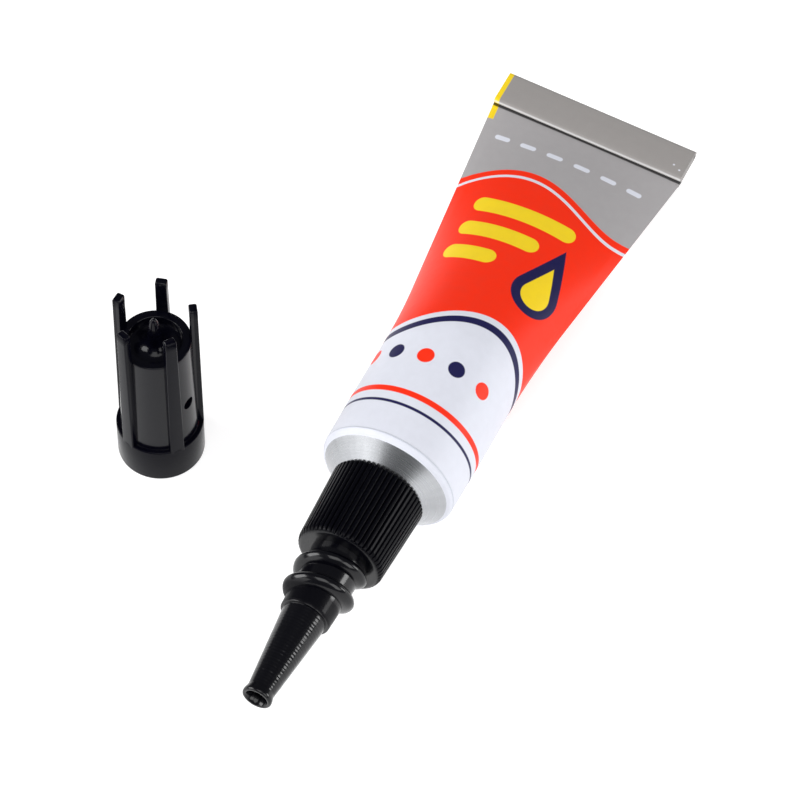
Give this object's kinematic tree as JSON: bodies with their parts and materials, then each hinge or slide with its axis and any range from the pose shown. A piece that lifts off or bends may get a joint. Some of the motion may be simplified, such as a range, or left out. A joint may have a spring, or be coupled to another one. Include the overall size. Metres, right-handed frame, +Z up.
{
  "type": "super glue tube",
  "caption": "Small collapsible aluminium glue tube with a folded tail and a black screw-on nozzle, and its ribbed cap with a piercing spike taken off and standing beside it",
  "frame": {"origin": "middle of the footprint of tube and cap together, on the surface they lie on", "axes": "+X along the tube's axis from nozzle to tail, +Y from the tube to the cap, +Z up"},
  "size_m": [0.0718, 0.0356, 0.02],
  "materials": {
    "printed_aluminium": "printed in grey, red and white with a clear lacquer, bare and satin at the shoulder",
    "sealing_compound": "soft film",
    "clear_glue": "clear liquid",
    "nozzle_plastic": "black, satin, with a fluted skirt",
    "cap_plastic": "black, half gloss"
  },
  "bodies": {
    "tube": {"tube_shell": "printed_aluminium", "end_seal": "sealing_compound", "adhesive": "clear_glue"},
    "nozzle": {"nozzle": "nozzle_plastic"},
    "cap": {"cap": "cap_plastic"}
  },
  "joints": [
    {"name": "nozzle_draw", "type": "slide", "parent": "tube", "child": "nozzle", "axis": [-1, 0, 0], "range_m": [0, 0.012]},
    {"name": "cap_lift", "type": "slide", "parent": "tube", "child": "cap", "axis": [0, 0, 1], "range_m": [0, 0.03]}
  ]
}
